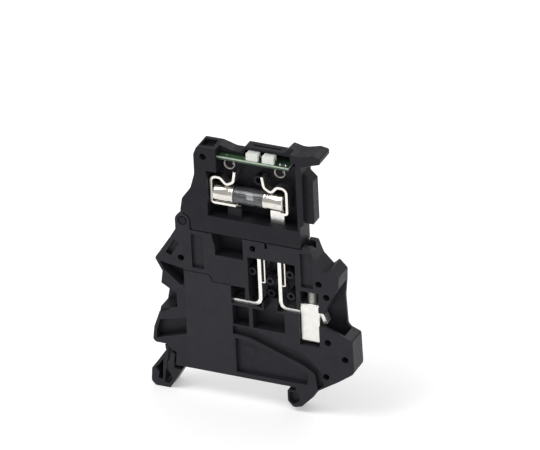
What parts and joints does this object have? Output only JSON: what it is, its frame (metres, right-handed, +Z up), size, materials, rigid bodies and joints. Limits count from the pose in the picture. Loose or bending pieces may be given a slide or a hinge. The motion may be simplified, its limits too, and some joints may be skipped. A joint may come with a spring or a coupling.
{
  "type": "fuse terminal block",
  "caption": "Slim terminal block for a top-hat rail, open on one side, with a screw clamp at each end and a hinged lever that carries a glass fuse and a lamp board.",
  "frame": {"origin": "on the rail seat, midway across the rail and midway between the block's two sides", "axes": "+X across the rail towards the fixed hook, +Y from the open side to the closed side, +Z up, away from the rail"},
  "size_m": [0.0593, 0.0062, 0.0789],
  "materials": {
    "housing": "moulded black polyamide",
    "lever": "moulded black polyamide",
    "plated_steel": "white plated sheet",
    "screw_steel": "turned, zinc plated",
    "tinned_copper": "tinned strip",
    "spring_steel": "plated spring strip",
    "fuse_cap": "nickel plated",
    "fuse_glass": "clear",
    "fuse_wire": "fine wire",
    "circuit_board": "green laminate with a pale cut edge",
    "lamp": "white lamp body",
    "resistor": "ceramic chip",
    "ring_wire": "spring wire"
  },
  "bodies": {
    "base": {"housing": "housing", "clamp_cover": "housing", "left_current_bar": "tinned_copper", "right_current_bar": "tinned_copper", "left_contact_spring": "spring_steel", "right_contact_spring": "spring_steel"},
    "lever": {"lever": "lever", "left_contact_blade": "tinned_copper", "right_contact_blade": "tinned_copper", "left_fuse_clip": "spring_steel", "right_fuse_clip": "spring_steel", "left_fuse_cap": "fuse_cap", "right_fuse_cap": "fuse_cap", "fuse_glass": "fuse_glass", "fuse_wire": "fuse_wire", "circuit_board": "circuit_board", "left_lamp": "lamp", "right_lamp": "lamp", "resistor": "resistor", "left_contact_ring": "ring_wire", "right_contact_ring": "ring_wire"},
    "left_screw": {"left_clamp_screw": "screw_steel"},
    "right_screw": {"right_clamp_screw": "screw_steel"},
    "left_cage": {"left_clamp_cage": "plated_steel"},
    "right_cage": {"right_clamp_cage": "plated_steel"}
  },
  "joints": [
    {"name": "lever_hinge", "type": "hinge", "parent": "base", "child": "lever", "pos_m": [-0.0131, 0, 0.0451], "axis": [0, -1, 0], "range_deg": [0, 105]},
    {"name": "left_screw_turn", "type": "hinge", "parent": "base", "child": "left_screw", "pos_m": [-0.009, 0, 0.0306], "axis": [0, 0, -1], "range_deg": [0, 1800]},
    {"name": "left_cage_slide", "type": "slide", "parent": "base", "child": "left_cage", "axis": [0, 0, 1], "range_m": [0, 0.00225]},
    {"name": "right_screw_turn", "type": "hinge", "parent": "base", "child": "right_screw", "pos_m": [0.0223, 0, 0.0306], "axis": [0, 0, -1], "range_deg": [0, 1800]},
    {"name": "right_cage_slide", "type": "slide", "parent": "base", "child": "right_cage", "axis": [0, 0, 1], "range_m": [0, 0.00225]}
  ],
  "couplings": [
    {"joint": "left_screw_turn", "follows": "left_cage_slide", "rad_per_m": 13963},
    {"joint": "right_screw_turn", "follows": "right_cage_slide", "rad_per_m": 13963}
  ]
}
